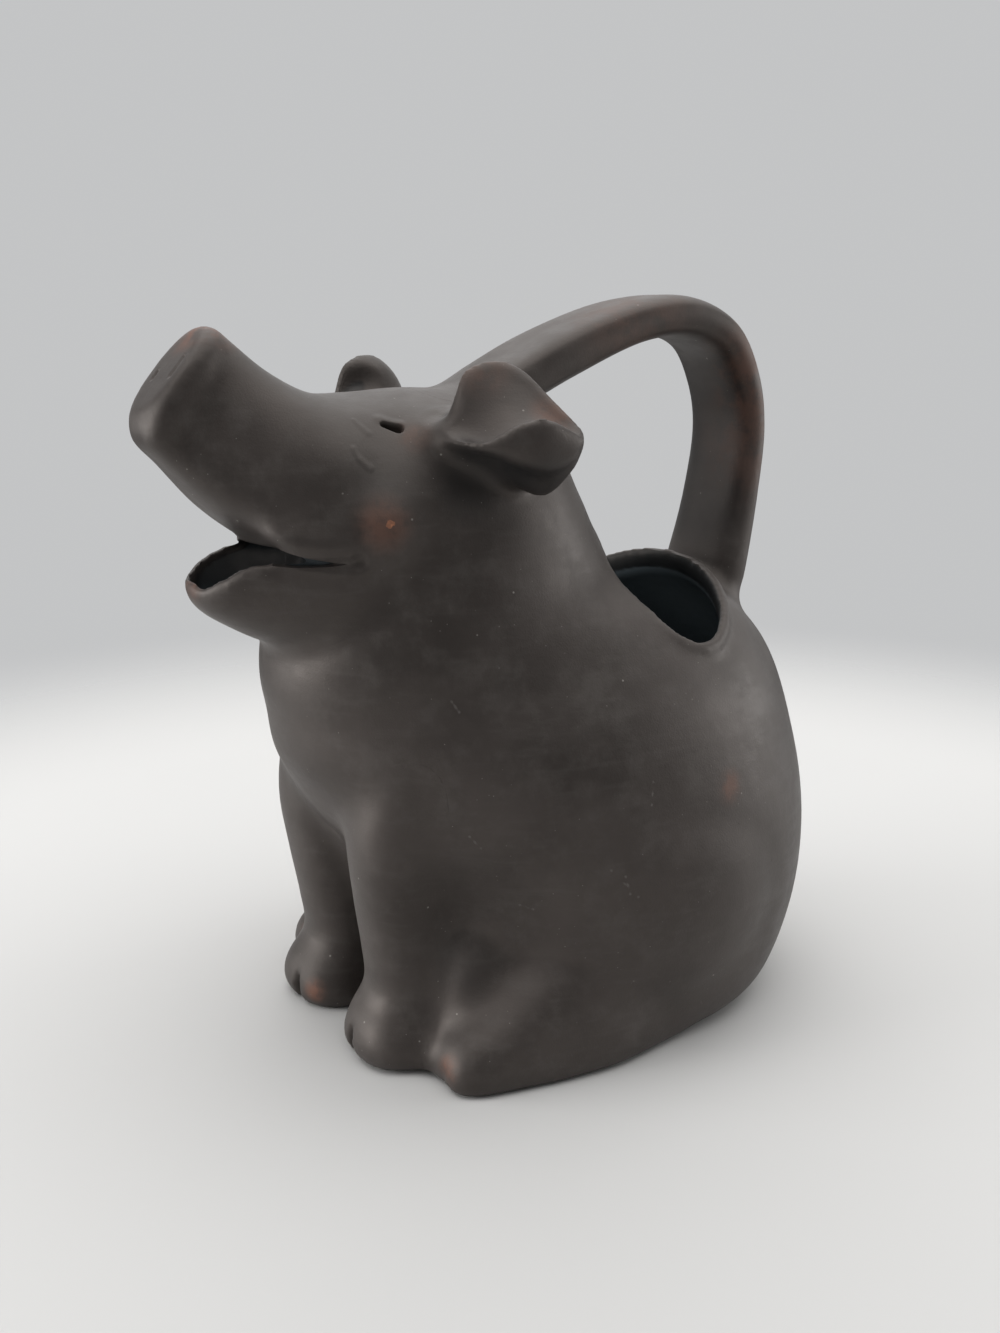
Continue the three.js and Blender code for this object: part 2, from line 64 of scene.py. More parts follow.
hide_sections = [  # breast line, back line, half width, where widest, how full above and below
    ((-70, 0), (56, 0), 66, 0.5, 0.98, 0.98),
    ((-74, 10), (69, 10), 73, 0.5, 0.98, 0.98),
    ((-78, 35), (79.5, 36), 77.5, 0.5, 0.98, 0.98),
    ((-88, 60), (82, 65), 79, 0.5, 0.98, 0.98),
    ((-102, 79), (79, 93), 76.5, 0.5, 1, 1),
    ((-111, 96), (67.3, 124.5), 70, 0.5, 1, 1),
    ((-113.5, 109), (37, 149), 58.5, 0.5, 0.98, 0.98),
    ((-115.5, 120), (2, 160), 52.5, 0.5, 1, 1),
    ((-115, 130), (-9, 178), 49, 0.5, 1, 1),
    ((-110.5, 142.5), (-19, 195), 45, 0.5, 0.95, 0.95),
    ((-106, 151), (-38, 207), 43, 0.45, 0.9, 0.9),
    ((-104, 155), (-62, 211), 41, 0.4, 0.85, 0.85),
    ((-106, 158.5), (-84, 210), 37, 0.35, 0.82, 0.74),
    ((-118, 166), (-101, 210.5), 31.5, 0.3, 0.8, 0.6),
    ((-133.3, 177.2), (-114, 217), 21.5, 0.35, 0.8, 0.62),
    ((-146, 190.8), (-124, 225.6), 13.6, 0.45, 0.88, 0.56),
    ((-152.2, 197.6), (-128.4, 229.2), 13.9, 0.5, 0.9, 0.6),
    ((-153.2, 202.8), (-131.6, 230), 13.3, 0.5, 0.92, 0.75),
    ((-152.6, 206.4), (-134.4, 228.4), 11.2, 0.5, 0.95, 0.9),
]
hide_end = len(hide_sections) - 1
hide_rows = 6
hide_points = 96
station_step = 20  # spacing of stations that are listed by size alone


def through(stations):
    """Smooth line through stations, read off by the count of the station."""
    at = np.array(stations, float)
    led = np.vstack([2 * at[0] - at[1], at, 2 * at[-1] - at[-2]])

    def line(along):
        along = np.clip(np.atleast_1d(np.asarray(along, float)), 0, len(at) - 1)
        first = np.minimum(along.astype(int), len(at) - 2)
        t = (along - first)[:, None]
        p0, p1, p2, p3 = (led[first + k] for k in range(4))
        d0, d1, d2 = (
            np.sqrt(np.linalg.norm(b - a, axis=1))[:, None]
            for a, b in ((p0, p1), (p1, p2), (p2, p3))
        )
        m1 = ((p1 - p0) / d0 - (p2 - p0) / (d0 + d1) + (p2 - p1) / d1) * d1
        m2 = ((p2 - p1) / d1 - (p3 - p1) / (d1 + d2) + (p3 - p2) / d2) * d1
        return p1 + m1 * t + (3 * (p2 - p1) - 2 * m1 - m2) * t**2 + (2 * (p1 - p2) + m1 + m2) * t**3

    return line


def oval(turn, full):
    """Points of an oval, squarer where full is below 1."""
    across, up = np.cos(turn), np.sin(turn)
    return np.sign(across) * np.abs(across) ** full, np.sign(up) * np.abs(up) ** full


def around(count):
    """Turns spread evenly over a full circle."""
    return np.arange(count) * 2 * math.pi / count


breast_line = through([s[0] for s in hide_sections])
back_line = through([s[1] for s in hide_sections])
width_line = through([(i * station_step, s[2]) for i, s in enumerate(hide_sections)])
shape_line = through([(i, *s[3:]) for i, s in enumerate(hide_sections)])


def hide_point(along, turn):
    """Points of the hide, turn 0 on the pig's left and a quarter turn on its back."""
    along, turn = np.broadcast_arrays(np.asarray(along, float), np.asarray(turn, float))
    breast, back = breast_line(along), back_line(along)
    half, shape = width_line(along)[:, 1], shape_line(along)
    middle = breast + (back - breast) * shape[:, 1:2]
    side, rise = oval(turn, np.where(np.sin(turn) > 0, shape[:, 2], shape[:, 3]))
    end = np.where((rise > 0)[:, None], back, breast)
    place = middle + (end - middle) * np.abs(rise)[:, None]
    return np.column_stack([side * half, place])


def hide_normal(along, turn, step=0.01):
    """The way straight off the hide at the same points."""
    along, turn = np.broadcast_arrays(np.asarray(along, float), np.asarray(turn, float))
    ahead = hide_point(np.minimum(along + step, hide_end), turn)
    ahead = ahead - hide_point(np.maximum(along - step, 0), turn)
    normal = np.cross(hide_point(along, turn + step) - hide_point(along, turn - step), ahead)
    return normal / np.linalg.norm(normal, axis=1)[:, None]


def clay_blank(name, rings, loop=False):
    """Ring of clay extruded from place to place, closed at its ends or into itself."""
    bpy.ops.object.select_all(action="DESELECT")
    bpy.ops.mesh.primitive_circle_add(vertices=len(rings[0]), radius=mm)
    piece = bpy.context.object
    piece.name = piece.data.name = name
    bpy.ops.object.mode_set(mode="EDIT")
    bpy.ops.mesh.select_all(action="SELECT")
    edge = list(range(len(rings[0])))
    for i, ring in enumerate(rings):
        if i:
            bpy.ops.mesh.extrude_edges_move()
        clay = bmesh.from_edit_mesh(piece.data)
        clay.verts.ensure_lookup_table()
        if i:
            edge = [
                next(e.other_vert(clay.verts[v]).index for e in clay.verts[v].link_edges
                     if e.other_vert(clay.verts[v]).select)
                for v in edge
            ]
        for v, place in zip(edge, ring):
            clay.verts[v].co = Vector(place) * mm
        bmesh.update_edit_mesh(piece.data)
    if loop:
        bpy.ops.mesh.select_non_manifold(extend=False)
        bpy.ops.mesh.bridge_edge_loops()
    else:
        bpy.ops.mesh.edge_face_add()
        bpy.ops.mesh.select_non_manifold(extend=False)
        bpy.ops.mesh.edge_face_add()
    bpy.ops.mesh.select_all(action="SELECT")
    bpy.ops.mesh.normals_make_consistent(inside=False)
    bpy.ops.object.mode_set(mode="OBJECT")
    return piece


def hide_blank(name, grow, end, points):
    """The form of the hide, grown or shrunk along its normals, up to one of its sections."""
    rows = np.linspace(0, end, int(round(end * hide_rows)) + 1)
    turn = around(points)
    rings = [hide_point(row, turn) + grow * hide_normal(row, turn) for row in rows]
    return clay_blank(name, rings)


hide = hide_blank("hide", 0, hide_end, hide_points)

# ----------------------------------------
# Front legs: two columns of clay that come out of the chest and end in a cloven foot.
# The left one is drawn out and the right one is its mirror image.
front_leg_stations = [  # centre (x, y), height, half width, half depth
    ((29, -66), 112, 15, 15),
    ((28.5, -80), 94, 18, 18),
    ((27, -84.5), 76, 17.5, 17.5),
    ((25.5, -83), 55, 16.5, 16.5),
    ((24.5, -80.5), 36, 15.5, 16),
    ((24, -79.5), 23, 15.5, 16),
    ((25, -81.5), 13, 18.5, 19.5),
    ((25.5, -82), 5, 20.5, 20.5),
    ((25.5, -82), 0, 18, 18),
]
front_leg_full, front_foot_full = 0.9, 0.78
front_foot_heights = (10, 32)  # between these the square foot turns into the round leg


def picked(piece):
    """A piece as the only one selected, ready for the next tool."""
    bpy.ops.object.select_all(action="DESELECT")
    bpy.context.view_layer.objects.active = piece
    piece.select_set(True)


def both_sides(piece):
    """The same piece on the other side of the pig, in one mesh."""
    picked(piece)
    mirror = piece.modifiers.new("other side", "MIRROR")
    mirror.use_mirror_merge = False
    bpy.ops.object.modifier_apply(modifier=mirror.name)
    return piece


def front_leg_rings(count=64, points=48):
    place = through([(*s[0], s[1]) for s in front_leg_stations])
    girth = through([(s[2], s[3], s[1]) for s in front_leg_stations])
    rings = []
    for along in np.linspace(0, len(front_leg_stations) - 1, count):
        (at,), (wide,) = place(along), girth(along)
        full = np.interp(at[2], front_foot_heights, (front_foot_full, front_leg_full))
        across, deep = oval(around(points), full)
        rings.append(np.column_stack([across * wide[0], deep * wide[1], 0 * across]) + at)
    return rings


front_legs = both_sides(clay_blank("front_legs", front_leg_rings()))

# ----------------------------------------
# Hind legs: a foot that lies along the base and runs back into the haunch, with a low pad of
# clay on the hide for the thigh.
hind_leg_stations = [  # centre (x, y), half width, top
    ((54, -86.5), 7, 9),
    ((54, -83.5), 11, 14.5),
    ((54.5, -76.5), 13.7, 19.5),
    ((54.5, -68), 15.5, 25.5),
    ((54.5, -59), 17, 33),
    ((55, -47), 18.5, 42),
    ((52, -30), 23, 50),
    ((50, 0), 20, 40),
]
hind_full = 0.88
hind_widest = 4
hind_under = 0.5
thigh_middle = (2.55, -0.2)
thigh_reach = (1.15, 0.52)
thigh_roll = -0.5
thigh_proud = 3.6
thigh_edge = 0.5
thigh_root, thigh_root_depth = 0.9, 2.25


def hind_leg_rings(count=50, points=40):
    place = through([(*s[0], s[2]) for s in hind_leg_stations])
    half = through([(s[0][1], s[1]) for s in hind_leg_stations])
    turn = np.linspace(-hind_under, math.pi + hind_under, points)
    rings = []
    for along in np.linspace(0, len(hind_leg_stations) - 1, count):
        (at,), (wide,) = place(along), half(along)
        across, high = oval(turn, hind_full)
        reach = np.where(high > 0, at[2] - hind_widest, 2 * hind_widest)
        rings.append(np.column_stack(
            [at[0] + across * wide[1], at[1] + 0 * across, hind_widest + high * reach]))
    return rings


def thigh_ring(share, lift, points=64):
    long, high = share * np.cos(around(points)), share * np.sin(around(points))
    cos, sin = math.cos(thigh_roll), math.sin(thigh_roll)
    along = thigh_middle[0] + thigh_reach[0] * (long * cos - high * sin)
    turn = thigh_middle[1] + thigh_reach[1] * (long * sin + high * cos)
    return hide_point(along, turn) + lift * hide_normal(along, turn)


hind_legs = both_sides(clay_blank("hind_legs", hind_leg_rings()))
thigh_shares = np.linspace(1, 0.05, 20)
thighs = both_sides(clay_blank("thighs", [thigh_ring(thigh_root, -thigh_root_depth)] + [
    thigh_ring(share, thigh_edge + thigh_proud * (1 - share**2)) for share in thigh_shares]))

# ----------------------------------------
# Lower jaw: a trough of clay under the head, the pouring lip. It is pressed out of one slab, and
# its rim stands a little higher on the pig's left.
jaw_stations = [  # y, rim, keel, half width, how much higher on the left, how far the mouth gapes
    (-70, 166, 127, 40, 0, -3),
    (-86, 166, 128, 38.5, 0, -3),
    (-99, 164, 130, 35.5, 0, -3),
    (-110, 162.6, 133, 31, 1.2, 0.5),
    (-121, 161.9, 137.5, 26, 3.2, 2.8),
    (-129, 160, 142, 20.5, 3, 4),
    (-135, 157.8, 146, 14.5, 0.6, 5),
    (-138.3, 156.8, 149.5, 9, -1, 5),
    (-140, 156.4, 153, 4, -0.8, 5),
]
jaw_full = 0.85
lip_thickness = 4
throat_start = 0.2
lip_setback = 1.45
least_lift = 0.05
least_size = 1
lid_points, lid_share = 13, 0.999


def jaw_rings(inset, rise, start, end, count=48, points=40):
    """Rings of the trough with a flat lid, smaller by inset, the lid raised or gaping as listed."""
    place = through([s[:3] for s in jaw_stations])
    half = through([(s[0], *s[3:]) for s in jaw_stations])
    rings = []
    for along in np.linspace(start, end, count):
        (at,), (size,) = place(along), half(along)
        wide, tilt = max(size[1] - inset, least_size), size[2] / 2
        lift = size[3] if rise is None else rise
        sunk = min(lift, 0)
        across, drop = oval(np.linspace(0, -math.pi, points), jaw_full)
        deep = np.maximum(at[1] + sunk + tilt * (1 + across) - at[2] - inset, least_size)
        lid = np.linspace(-1, 1, lid_points)
        x = np.concatenate([across * wide, lid * wide * lid_share])
        z = np.concatenate([drop * deep + sunk, 0 * lid + max(lift, least_lift) + sunk])
        z = z + at[1] + tilt * (1 + x / wide)
        rings.append(np.column_stack([x, 0 * x + at[0], z]))
    return rings


jaw_end = len(jaw_stations) - 1
jaw = clay_blank("jaw", jaw_rings(0, 0, 0, jaw_end))

# ----------------------------------------
# Ears: thick leaves of clay, hollowed on top by a thumb, with a heavy front lip that hangs free
# over the cheek. One sits on each side of the crown.
ear_stations = [  # keel (x, y), top edge, lip, under the lip, root, opening, lean, how far it hangs
    ((37, -76), 207.5, 201.5, 197, 191, 4, 0, 0),
    ((41.6, -69.4), 217.5, 199.7, 195.5, 185.5, 11, -2, 0),
    ((46.2, -62.8), 220.4, 199.4, 195, 183.5, 15, -4.5, 0.3),
    ((50.8, -56.2), 218, 204, 192.5, 182, 15, -5.5, 0.8),
    ((55.4, -49.6), 210.5, 205.3, 190.5, 181.5, 12, -4, 1),
    ((60, -43), 203, 201.2, 193.5, 190, 6, -2, 1),
    ((61.4, -41), 201, 200.2, 197.2, 196, 3, 0, 1),
]
ear_full_height = 25


def closed_line(points, count):
    """Smooth closed line through points."""
    points = np.array(points, float)
    wide = np.vstack([points[-2:], points, points[:3]])
    return through(wide)(2 + np.arange(count) * len(points) / count)


def ear_rings(count=56, points=72):
    place = through([s[0] for s in ear_stations])
    rise = through([(i * station_step, *s[1:5]) for i, s in enumerate(ear_stations)])
    fold = through([(i * station_step, *s[5:]) for i, s in enumerate(ear_stations)])
    root, tip = np.array(ear_stations[0][0]), np.array(ear_stations[5][0])
    side = np.array([tip[1] - root[1], root[0] - tip[0]]) / np.linalg.norm(tip - root)
    rings = []
    for along in np.linspace(0, len(ear_stations) - 1, count):
        (at,), (high,), (reach,) = place(along), rise(along), fold(along)
        top, lip, under, keel = high[1:]
        lip_out, lean, hang = reach[1:]
        room = min(1, (top - keel) / ear_full_height)
        ring = closed_line([  # out from the keel, height: top edge, lip, back
            (lean, top),
            (lean + 2.8 * room, top - 4.5 * room),
            ((lean + lip_out) / 2 - 1.5 * room, (top + lip) / 2 - 5 * room),
            (lip_out - 5 * room, lip - 2.6 * room),
            (lip_out - 0.6, lip - 0.2 * room),
            (lip_out + 0.6 * room, (lip + under) / 2),
            (lip_out - 1.8 * room, under),
            (lip_out * (0.25 + 0.1 * hang), under - (1.2 + 1.8 * hang) * room),
            ((5 * hang - 8) * room, keel + 3.5 * (1 - hang) * room),
            (lean - 11 * room, keel + 9 * room),
            (lean - 7.5 * room, top - 5.5 * room),
        ], points)
        rings.append(np.column_stack(
            [at[0] + side[0] * ring[:, 0], at[1] + side[1] * ring[:, 0], ring[:, 1]]))
    return rings


ears = both_sides(clay_blank("ears", ear_rings()))

# ----------------------------------------
# Handle: a flat strap of pulled clay, bent in one arch from the crown to behind the filling hole.
# Its front part is dished along the top by the thumb that pulled it.
handle_stations = [  # (y, z) in the mid plane, width, thickness, how deep its top is dished
    ((-66, 196), 34, 15, 0),
    ((-38, 209), 34.5, 17, 1.6),
    ((-14, 220.5), 34.5, 17.5, 1.8),
    ((18, 231.5), 34, 15.5, 1.2),
    ((38, 232.5), 34, 14.5, 0.4),
    ((53.5, 225.5), 34, 13.5, 0),
    ((62.5, 210), 34, 13, 0),
    ((65.5, 194), 34, 12.5, 0),
    ((63, 171), 35, 13, 0),
    ((58.5, 150), 37, 14.5, 0),
    ((52, 128), 39, 18, 0),
]
strap_full = 0.66


def handle_rings(count=110, points=48):
    place = through([s[0] for s in handle_stations])
    strap = through([(i * station_step, *s[1:]) for i, s in enumerate(handle_stations)])
    rings = []
    for along in np.linspace(0, len(handle_stations) - 1, count):
        (at,), (size,) = place(along), strap(along)
        (run,) = place(along + 0.01) - place(along - 0.01)
        run = run / np.linalg.norm(run)
        across, high = oval(around(points), strap_full)
        high = high * size[2] / 2 - size[3] * np.maximum(high, 0) * (1 - across**2)
        rings.append(np.column_stack(
            [across * size[1] / 2, at[0] - run[1] * high, at[1] + run[0] * high]))
    return rings


handle = clay_blank("handle_blank", handle_rings())

# ----------------------------------------
# Tail: one curl of rolled clay on the rump, thinner towards its end. It lies on the side that is
# turned away.
tail_radius = 3.6
tail_curl = 10
tail_along = 2.6
tail_turns = 1.15
tail_taper = 0.45
tail_rise = 4.3
tail_tip, tail_tip_gain = 0.35, 0.25  # girth of the last ring, and what each one before it gains


def tail_rings(count=60, points=16):
    t = np.linspace(0, 1, count)
    swing = 2 * math.pi * tail_turns * t
    reach = tail_curl * (1 - tail_taper * t)
    quarter = math.pi / 2
    (root,) = hide_point(tail_along, quarter) + tail_radius / 2 * hide_normal(tail_along, quarter)
    line = root + np.column_stack([reach * np.sin(swing), tail_rise * t, reach * np.cos(swing)])
    run = np.gradient(line, axis=0)
    run = run / np.linalg.norm(run, axis=1)[:, None]
    side = np.cross(run, [0, 1, 0])
    side = side / np.linalg.norm(side, axis=1)[:, None]
    rise = np.cross(side, run)
    rings = []
    for i in range(count):
        tip = min(1, tail_tip + (count - 1 - i) * tail_tip_gain)
        radius = tail_radius * (1 - tail_taper * t[i]) * tip
        turn = around(points)[:, None]
        rings.append(line[i] + radius * (np.cos(turn) * side[i] + np.sin(turn) * rise[i]))
    return rings


tail = clay_blank("tail_blank", tail_rings())

# ----------------------------------------
# Pads: rolls and balls of clay that are pressed on before the joins are smoothed. Rolls make the
# upper lip, and balls make the cheeks, the temples and the flanks between the legs.
cheek_at = (11.4, -0.12)
cheek_radius = 14
cheek_proud = 2.4


def ball(name, half, centre):
    """Ball of clay pressed to three half sizes."""
    bpy.ops.object.select_all(action="DESELECT")
    bpy.ops.mesh.primitive_uv_sphere_add(segments=48, ring_count=24, radius=mm)
    piece = bpy.context.object
    piece.name = name
    piece.scale = half
    piece.location = Vector(centre) * mm
    bpy.ops.object.transform_apply(location=True, rotation=True, scale=True)
    return piece


def pressed_together(name, pieces):
    """Several pieces as one mesh, the first of them."""
    bpy.ops.object.select_all(action="DESELECT")
    for piece in pieces:
        piece.select_set(True)
    bpy.context.view_layer.objects.active = pieces[0]
    bpy.ops.object.join()
    pieces[0].name = pieces[0].data.name = name
    return pieces[0]


def rolled_rings(line, radius, flat=1, count=60, points=20):
    """Rings around a smooth line of clay whose radius runs through the given ones."""
    share = np.linspace(0, len(line) - 1, count)
    middle = through(line)(share)
    thick = through([(i * station_step, r) for i, r in enumerate(radius)])(share)[:, 1]
    run = np.gradient(middle, axis=0)
    side = np.cross(run, [0, 0, 1])
    side = side / np.linalg.norm(side, axis=1)[:, None]
    rise = np.cross(side, run / np.linalg.norm(run, axis=1)[:, None])
    turn = around(points)[:, None]
    return [m + r * (np.cos(turn) * a + flat * np.sin(turn) * b)
            for m, r, a, b in zip(middle, thick, side, rise)]


lip_roll = [  # middle on the left, its radius, and on the right how much higher and its radius
    ((7, -129, 178.8), 0.8, 1, 0.8),
    ((19.5, -125.4, 175), 2.2, 1.5, 1.2),
    ((25.8, -120, 171.9), 4, 1.6, 2),
    ((29.2, -113.5, 170), 4.6, 1, 3.4),
    ((32.2, -106.5, 168.6), 4.4, 0, 4),
    ((34.4, -100.5, 169), 2.5, 0, 2.5),
]
lip_rolls = pressed_together("lip_rolls", [
    clay_blank("left_lip", rolled_rings([s[0] for s in lip_roll], [s[1] for s in lip_roll])),
    clay_blank("right_lip", rolled_rings(
        [(-x, y, z + higher) for (x, y, z), _, higher, _ in lip_roll], [s[3] for s in lip_roll])),
])
(cheek_normal,) = hide_normal(*cheek_at)
(cheek_place,) = hide_point(*cheek_at) + (cheek_proud - cheek_radius) * cheek_normal
cheeks = both_sides(ball("cheeks", [cheek_radius] * 3, cheek_place))

temple_middle = (29, -67, 195)
temple_half = (13, 15, 11.5)
temples = both_sides(ball("temples", temple_half, temple_middle))
flank_middle = (42, -63, 14)
flank_half = (13, 17, 34)
flanks = both_sides(ball("flanks", flank_half, flank_middle))

# ----------------------------------------
# Luting: the pieces are pressed onto the hide with slip, and the joins are smoothed with a wet
# thumb until the clay runs over from one piece to the next.
voxel = 1.15 * mm
join_passes, even_passes = 160, 4
weight_levels = 20


def applied(piece, kind, **settings):
    """Modifier added to a piece and applied at once."""
    picked(piece)
    modifier = piece.modifiers.new(kind.lower(), kind)
    for name, value in settings.items():
        setattr(modifier, name, value)
    bpy.ops.object.modifier_apply(modifier=modifier.name)
    return piece


def copied(piece, name):
    twin = bpy.data.objects.new(name, piece.data.copy())
    bpy.context.scene.collection.objects.link(twin)
    return twin


luted = {  # piece, and how wide its join is smoothed
    "hide": (hide, 0),
    "front_legs": (front_legs, 18),
    "hind_legs": (hind_legs, 26),
    "flanks": (flanks, 24),
    "thighs": (thighs, 12),
    "jaw": (jaw, 7),
    "temples": (temples, 14),
    "ears": (ears, 7),
    "handle": (handle, 10),
    "tail": (tail, 4),
    "cheeks": (cheeks, 12),
    "lip_rolls": (lip_rolls, 4),
}
pig = pressed_together("pig", [copied(piece, name) for name, (piece, _) in luted.items()])
applied(pig, "REMESH", mode="VOXEL", voxel_size=voxel, use_smooth_shade=True)


def points_of(piece):
    flat = np.empty(len(piece.data.vertices) * 3, np.float32)
    piece.data.vertices.foreach_get("co", flat)
    return flat.reshape(-1, 3)


def join_weights(points):
    """How near each point is to a join, 1 on the join and 0 away from it."""
    widest = max(reach for _, reach in luted.values()) * mm
    near_join = np.zeros(len(points), bool)
    boxes = {}
    for name, (piece, reach) in luted.items():
        if reach:
            low, high = points_of(piece).min(0) - reach * mm, points_of(piece).max(0) + reach * mm
            boxes[name] = np.all((points > low) & (points < high), axis=1)
            near_join |= boxes[name]
    boxes["hide"] = near_join
    away = np.full((len(luted), len(points)), np.inf)
    for k, (name, (piece, _)) in enumerate(luted.items()):
        shape = bmesh.new()
        shape.from_mesh(piece.data)
        skin = BVHTree.FromBMesh(shape)
        shape.free()
        for i in np.flatnonzero(boxes[name]):
            hit = skin.find_nearest(Vector(points[i]), widest)
            if hit[0] is not None:
                away[k, i] = hit[3]
    weights = np.zeros(len(points))
    for k, (_, reach) in enumerate(luted.values()):
        if reach:
            other = np.delete(away, k, axis=0).min(0)
            share = np.clip(1 - np.maximum(away[k], other) / (reach * mm), 0, 1)
            weights = np.maximum(weights, share * share * (3 - 2 * share))
    return weights


def painted(piece, name, weights):
    """Group of points with weights from 0 to 1."""
    group = piece.vertex_groups.new(name=name)
    levels = np.round(weights * weight_levels)
    for level in np.unique(levels[levels > 0]):
        spots = np.flatnonzero(levels == level)
        group.add(spots.tolist(), float(level / weight_levels), "REPLACE")
    return group.name


joins = painted(pig, "joins", join_weights(points_of(pig)))
applied(pig, "SMOOTH", factor=0.5, iterations=join_passes, vertex_group=joins)
applied(pig, "SMOOTH", factor=0.5, iterations=even_passes)
outside = copied(pig, "outside")

# ----------------------------------------
# Hollow and openings: the wall is scraped to an even thickness from inside, and mouth, filling
# hole and the clefts of the feet are cut with a loop tool while the clay is soft.
wall = 4.5
hollow_end, hollow_points = 15.2, 64
base_thickness = 7.15
hole_front, hole_rear = 7.42, 5.94
hole_sag, hole_spread, hole_full, hole_full_front = 0.88, 1.11, 0.7, 0.86
hole_bevel, bevel_start = 1.4, 1
plug_lifts = np.linspace(-9, 27, 13)
front_cleft = ((21.5, -106, 0), (2, 10, 16))
hind_cleft = ((54.5, -93, 0), (1.9, 10, 14))


def cut(piece, tool, operation="DIFFERENCE", keep=False):
    """A piece without the room of a tool, or only with it."""
    applied(piece, "BOOLEAN", operation=operation, object=tool, solver="MANIFOLD")
    if not keep:
        bpy.data.objects.remove(tool)
    return piece


def hole_edge(count=96):
    """Edge of the filling hole, the way off the hide, the way out, and nearness to the rear."""
    turn = around(count)
    full = np.where(np.cos(turn) < 0, hole_full, hole_full_front)
    fore, aside = oval(turn, full)
    along = (hole_front + hole_rear) / 2 + (hole_front - hole_rear) / 2 * fore - hole_sag * aside**2
    angle = math.pi / 2 - hole_spread * aside
    place, normal = hide_point(along, angle), hide_normal(along, angle)
    out = np.cross(np.roll(place, -1, 0) - np.roll(place, 1, 0), normal)
    out = out / np.linalg.norm(out, axis=1)[:, None]
    return place, normal, out, ((1 - fore) / 2) ** 2


def bisected(piece, place, normal):
    """What is left of a piece beyond a plane, closed again."""
    picked(piece)
    bpy.ops.object.mode_set(mode="EDIT")
    bpy.ops.mesh.select_all(action="SELECT")
    bpy.ops.mesh.bisect(
        plane_co=Vector(place) * mm, plane_no=normal, use_fill=True, clear_inner=True)
    bpy.ops.object.mode_set(mode="OBJECT")
    return piece


hollow = hide_blank("hollow", -wall, hollow_end, hollow_points)
bisected(hollow, (0, 0, base_thickness), (0, 0, 1))
mouth = clay_blank("mouth", jaw_rings(lip_thickness, None, throat_start, jaw_end - lip_setback))
edge_place, edge_normal, edge_out, edge_rear = hole_edge()
hole_plug = clay_blank("hole_plug", [
    edge_place + lift * edge_normal + max(0, hole_bevel * (-bevel_start - lift)) * edge_out
    for lift in plug_lifts])
front_clefts = both_sides(ball("front_clefts", front_cleft[1], front_cleft[0]))
hind_clefts = both_sides(ball("hind_clefts", hind_cleft[1], hind_cleft[0]))
for tool in (hollow, mouth, hole_plug, front_clefts, hind_clefts):
    cut(pig, tool)

# ----------------------------------------
# Filler rim: a thin coil of clay laid around the filling hole, heavier and raised at the rear. It
# and the lip of the jaw are wiped round with a wet sponge.
rim_width, rim_deep, rim_proud, rim_full = 3.2, 3, 3.2, 0.9
rim_out, rim_heavy, rim_seat, rim_foot = 0.4, 0.7, 0.3, 1.5
wiped_reach, wiped_full, wiped_rim, wiped_passes = 5, 1.8, 1.3, 22


def rim_rings(room=0, points=24):
    rings = []
    for place, normal, out, rear in zip(edge_place, edge_normal, edge_out, edge_rear):
        across, high = oval(around(points), rim_full)
        middle = rim_seat + rim_proud * rear - rim_deep / 2
        half = rim_width / 2 * (1 + rim_heavy * rear)
        rings.append(place + np.outer(middle + (rim_deep / 2 + room) * high, normal)
                     + np.outer(rim_out + half - rim_width / 2 + (half + room) * across, out))
    return rings


rim_coil = clay_blank("rim_coil", rim_rings(), loop=True)
pig = pressed_together("pig", [pig, rim_coil])
applied(pig, "REMESH", mode="VOXEL", voxel_size=voxel, use_smooth_shade=True)
applied(pig, "SMOOTH", factor=0.5, iterations=even_passes)


def away_from(points, line):
    """How far points are from a line of several pieces, and where along it they are."""
    near, along = np.full(len(points), np.inf), np.zeros(len(points))
    for i, (start, end) in enumerate(zip(line[:-1], line[1:])):
        run = end - start
        share = np.clip((points - start) @ run / (run @ run), 0, 1)
        far = np.linalg.norm(points - start - share[:, None] * run, axis=1)
        along = np.where(far < near, (i + share) / (len(line) - 1), along)
        near = np.minimum(near, far)
    return near, along


lip_line = [(side * (half - lip_thickness / 2), y, rim + (1 + side) / 2 * tilt)
            for side in (1, -1) for y, rim, _, half, tilt, _ in jaw_stations[2:][::side]]
rim_line = edge_place + (rim_width + rim_foot) * edge_out
from_lip, _ = away_from(points_of(pig), np.array(lip_line) * mm)
from_rim, _ = away_from(points_of(pig), rim_line * mm)
wiped = np.clip(wiped_full - np.minimum(from_lip, wiped_rim * from_rim) / (wiped_reach * mm), 0, 1)
wiped_group = painted(pig, "wiped", wiped)
applied(pig, "SMOOTH", factor=0.5, iterations=wiped_passes, vertex_group=wiped_group)

# ----------------------------------------
# Base: the feet and the underside are set flat on the bench while the clay is soft, and what
# bulges below the bench is cut off.


def beyond(name, place, normal):
    """Block of room on the far side of a plane."""
    bpy.ops.object.select_all(action="DESELECT")
    bpy.ops.mesh.primitive_cube_add(size=1)
    block = bpy.context.object
    block.name = name
    block.rotation_mode = "QUATERNION"
    block.rotation_quaternion = Vector((0, 0, 1)).rotation_difference(Vector(normal))
    block.location = Vector(place) * mm + Vector(normal).normalized() * 0.5
    bpy.ops.object.transform_apply(location=True, rotation=True, scale=True)
    return block


cut(pig, beyond("under_bench", (0, 0, 0), (0, 0, -1)))

